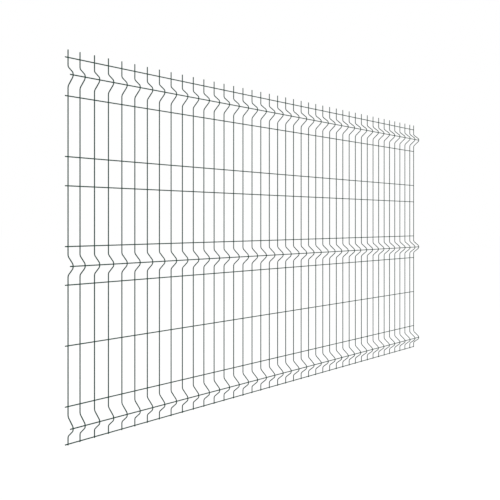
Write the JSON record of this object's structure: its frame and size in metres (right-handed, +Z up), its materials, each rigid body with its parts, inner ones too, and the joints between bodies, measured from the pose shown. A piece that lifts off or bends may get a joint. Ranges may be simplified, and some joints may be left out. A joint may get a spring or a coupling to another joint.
{
  "type": "welded mesh fence panel",
  "caption": "Welded steel wire mesh fence panel with three horizontal V folds, spikes along the top and open rectangular cells; it hangs between two posts.",
  "frame": {"origin": "centre of the left cut end of the bottom edge wire, where the panel meets its post", "axes": "+X along the panel to its right end, +Z up, and -Y to the front, where the folds stand out; the horizontal wires lie at y = 0"},
  "size_m": [2.25, 0.0415, 1.3008],
  "materials": {
    "polyester_coat": "satin dark moss-green polyester powder coat"
  },
  "bodies": {
    "root": {"vertical_wire_01": "polyester_coat", "vertical_wire_02": "polyester_coat", "vertical_wire_03": "polyester_coat", "vertical_wire_04": "polyester_coat", "vertical_wire_05": "polyester_coat", "vertical_wire_06": "polyester_coat", "vertical_wire_07": "polyester_coat", "vertical_wire_08": "polyester_coat", "vertical_wire_09": "polyester_coat", "vertical_wire_10": "polyester_coat", "vertical_wire_11": "polyester_coat", "vertical_wire_12": "polyester_coat", "vertical_wire_13": "polyester_coat", "vertical_wire_14": "polyester_coat", "vertical_wire_15": "polyester_coat", "vertical_wire_16": "polyester_coat", "vertical_wire_17": "polyester_coat", "vertical_wire_18": "polyester_coat", "vertical_wire_19": "polyester_coat", "vertical_wire_20": "polyester_coat", "vertical_wire_21": "polyester_coat", "vertical_wire_22": "polyester_coat", "vertical_wire_23": "polyester_coat", "vertical_wire_24": "polyester_coat", "vertical_wire_25": "polyester_coat", "vertical_wire_26": "polyester_coat", "vertical_wire_27": "polyester_coat", "vertical_wire_28": "polyester_coat", "vertical_wire_29": "polyester_coat", "vertical_wire_30": "polyester_coat", "vertical_wire_31": "polyester_coat", "vertical_wire_32": "polyester_coat", "vertical_wire_33": "polyester_coat", "vertical_wire_34": "polyester_coat", "vertical_wire_35": "polyester_coat", "vertical_wire_36": "polyester_coat", "vertical_wire_37": "polyester_coat", "vertical_wire_38": "polyester_coat", "vertical_wire_39": "polyester_coat", "vertical_wire_40": "polyester_coat", "vertical_wire_41": "polyester_coat", "vertical_wire_42": "polyester_coat", "top_edge_wire": "polyester_coat", "top_fold_apex_wire": "polyester_coat", "top_fold_lower_wire": "polyester_coat", "upper_field_wire": "polyester_coat", "middle_field_wire": "polyester_coat", "middle_fold_upper_wire": "polyester_coat", "middle_fold_apex_wire": "polyester_coat", "middle_fold_lower_wire": "polyester_coat", "lower_field_wire": "polyester_coat", "bottom_fold_upper_wire": "polyester_coat", "bottom_fold_apex_wire": "polyester_coat", "bottom_edge_wire": "polyester_coat"}
  },
  "joints": []
}
